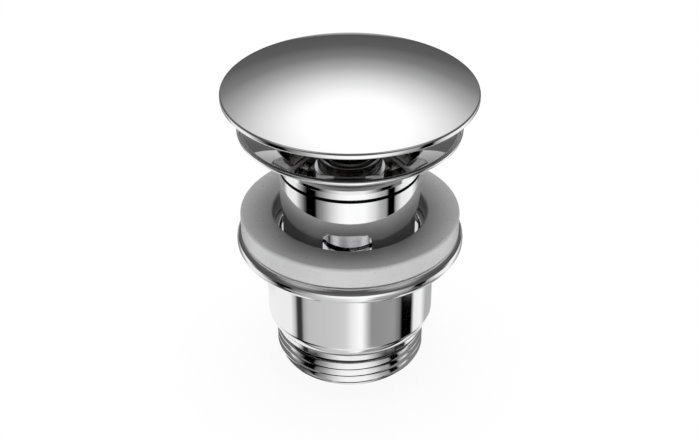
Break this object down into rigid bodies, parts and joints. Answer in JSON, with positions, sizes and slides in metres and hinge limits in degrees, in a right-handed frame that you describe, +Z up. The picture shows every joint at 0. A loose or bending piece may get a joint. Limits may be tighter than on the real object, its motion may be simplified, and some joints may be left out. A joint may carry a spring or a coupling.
{
  "type": "pop up basin waste",
  "caption": "Push-open chrome basin waste with a raised domed cap, overflow windows in its tube, a clamping lower body and a threaded tail.",
  "frame": {"origin": "on the axis of the waste, at the lower end of the tail", "axes": "+Z up along the axis of the waste, from the tail to the cap; -Y is the side the picture shows in front"},
  "size_m": [0.068, 0.068, 0.0897],
  "materials": {
    "chrome": "polished chrome plate on brass",
    "brass": "turned brass, nickel plated",
    "spring_steel": "drawn stainless",
    "black_rubber": "moulded, matt",
    "pale_seal": "moulded, slightly translucent",
    "black_acetal": "moulded",
    "fibre": "vulcanised fibre"
  },
  "bodies": {
    "clamp": {"lower_body": "chrome"},
    "seal": {"sealing_ring": "pale_seal"},
    "waste": {"waste_body": "chrome", "spider": "brass", "cartridge_housing": "chrome", "cartridge_washer": "fibre", "cartridge_lock_nut": "brass", "spring_seat": "brass", "return_spring": "spring_steel", "plunger_o_ring": "black_rubber", "guide_bush": "black_acetal", "retaining_ring": "spring_steel"},
    "cap": {"dome_cap": "chrome", "cap_stud": "spring_steel", "cap_lock_nut": "brass", "plate_washer": "spring_steel", "stopper_plate": "black_acetal", "stopper_seal": "black_rubber", "plunger": "brass"},
    "follower": {"follower_clip": "spring_steel"}
  },
  "joints": [
    {"name": "clamp_turn", "type": "hinge", "parent": "clamp", "child": "seal", "pos_m": [0, 0, 0.0417], "axis": [0, 0, 1], "range_deg": [-1440, 1800]},
    {"name": "waste_shift", "type": "slide", "parent": "seal", "child": "waste", "axis": [0, 0, 1], "range_m": [-0.0061, 0.0076]},
    {"name": "cap_press", "type": "slide", "parent": "waste", "child": "cap", "axis": [0, 0, 1], "range_m": [-0.008, 0], "stiffness_N_per_m": 800, "springref_m": 0.012, "deforming": ["return_spring"]},
    {"name": "clip_swing", "type": "hinge", "parent": "waste", "child": "follower", "pos_m": [0, 0, 0.0385], "axis": [0, 0, 1], "range_deg": [-30.5, 0.5]}
  ],
  "couplings": [
    {"joint": "waste_shift", "follows": "clamp_turn", "m_per_rad": 0.00023873},
    {"joint": "clip_swing", "follows": "cap_press", "rad_per_m": 65.45}
  ]
}
